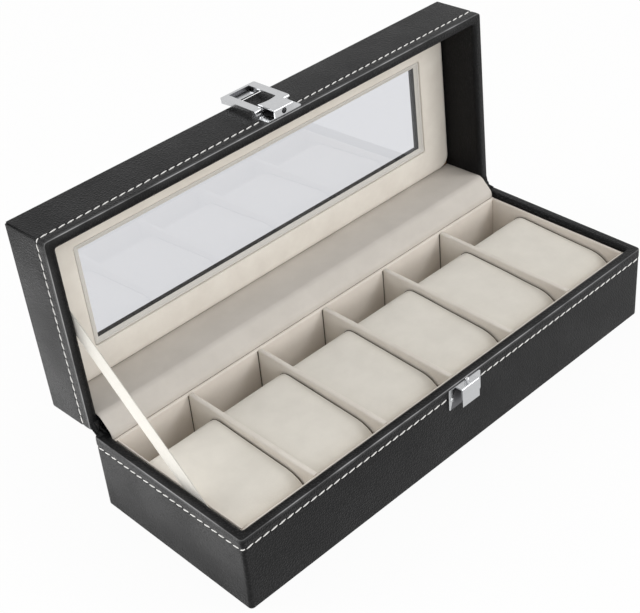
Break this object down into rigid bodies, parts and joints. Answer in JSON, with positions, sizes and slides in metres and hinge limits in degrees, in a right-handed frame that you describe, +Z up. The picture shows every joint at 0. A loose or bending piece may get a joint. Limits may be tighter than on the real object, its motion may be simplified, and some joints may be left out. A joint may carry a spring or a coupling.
{
  "type": "watch box",
  "caption": "Hinged leathercloth watch box with a glass window in the lid, a snap clasp, a stay ribbon and lift-out cushions between velvet dividers.",
  "frame": {"origin": "under the middle of the base, on the surface that it stands on", "axes": "+X along the length to the right, +Y to the hinge side, +Z up; the lid stands open at rest"},
  "size_m": [0.3, 0.157, 0.1606],
  "materials": {
    "black_leathercloth": "pebbled, satin",
    "board": "raw fibreboard",
    "black_felt": "pressed felt",
    "cream_velvet": "short pile",
    "cushion_foam": "open foam",
    "window_glass": "clear float glass",
    "bezel_card": "covered card",
    "satin_ribbon": "satin weave",
    "chromed_steel": "bright plated"
  },
  "bodies": {
    "base": {"back_lining": "cream_velvet", "base_back_board": "board", "base_floor_board": "board", "base_front_board": "board", "base_leather": "black_leathercloth", "base_left_board": "board", "base_right_board": "board", "catch_bracket": "chromed_steel", "catch_pip": "chromed_steel", "catch_rivets": "chromed_steel", "divider_1": "cream_velvet", "divider_2": "cream_velvet", "divider_3": "cream_velvet", "divider_4": "cream_velvet", "divider_5": "cream_velvet", "floor_lining": "cream_velvet", "front_lining": "cream_velvet", "hinge_lining": "cream_velvet", "hinge_spine": "black_leathercloth", "left_lining": "cream_velvet", "lid_ribbon": "satin_ribbon", "right_lining": "cream_velvet", "underside_felt": "black_felt"},
    "lid": {"lid_back_board": "board", "lid_front_board": "board", "lid_leather": "black_leathercloth", "lid_left_board": "board", "lid_lining_panel": "cream_velvet", "lid_right_board": "board", "lid_top_board": "board", "window_pane": "window_glass", "window_bezel": "bezel_card", "clasp_body": "chromed_steel", "clasp_pin": "chromed_steel", "clasp_rivets": "chromed_steel"},
    "clasp_bail": {"clasp_bail": "chromed_steel"},
    "cushion_1": {"cushion_1_cover": "cream_velvet", "cushion_1_foam": "cushion_foam"},
    "cushion_2": {"cushion_2_cover": "cream_velvet", "cushion_2_foam": "cushion_foam"},
    "cushion_3": {"cushion_3_cover": "cream_velvet", "cushion_3_foam": "cushion_foam"},
    "cushion_4": {"cushion_4_cover": "cream_velvet", "cushion_4_foam": "cushion_foam"},
    "cushion_5": {"cushion_5_cover": "cream_velvet", "cushion_5_foam": "cushion_foam"},
    "cushion_6": {"cushion_6_cover": "cream_velvet", "cushion_6_foam": "cushion_foam"}
  },
  "joints": [
    {"name": "lid_hinge", "type": "hinge", "parent": "base", "child": "lid", "pos_m": [0, 0.0562, 0.045], "axis": [-1, 0, 0], "range_deg": [-92, 0], "deforming": ["hinge_spine", "hinge_lining", "lid_ribbon"]},
    {"name": "clasp_bail_hinge", "type": "hinge", "parent": "lid", "child": "clasp_bail", "pos_m": [0, 0.07145, 0.15799], "axis": [-1, 0, 0], "range_deg": [-174, 0]},
    {"name": "cushion_1_lift", "type": "slide", "parent": "base", "child": "cushion_1", "axis": [0, 0, 1], "range_m": [0, 0.06]},
    {"name": "cushion_2_lift", "type": "slide", "parent": "base", "child": "cushion_2", "axis": [0, 0, 1], "range_m": [0, 0.06]},
    {"name": "cushion_3_lift", "type": "slide", "parent": "base", "child": "cushion_3", "axis": [0, 0, 1], "range_m": [0, 0.06]},
    {"name": "cushion_4_lift", "type": "slide", "parent": "base", "child": "cushion_4", "axis": [0, 0, 1], "range_m": [0, 0.06]},
    {"name": "cushion_5_lift", "type": "slide", "parent": "base", "child": "cushion_5", "axis": [0, 0, 1], "range_m": [0, 0.06]},
    {"name": "cushion_6_lift", "type": "slide", "parent": "base", "child": "cushion_6", "axis": [0, 0, 1], "range_m": [0, 0.06]}
  ]
}
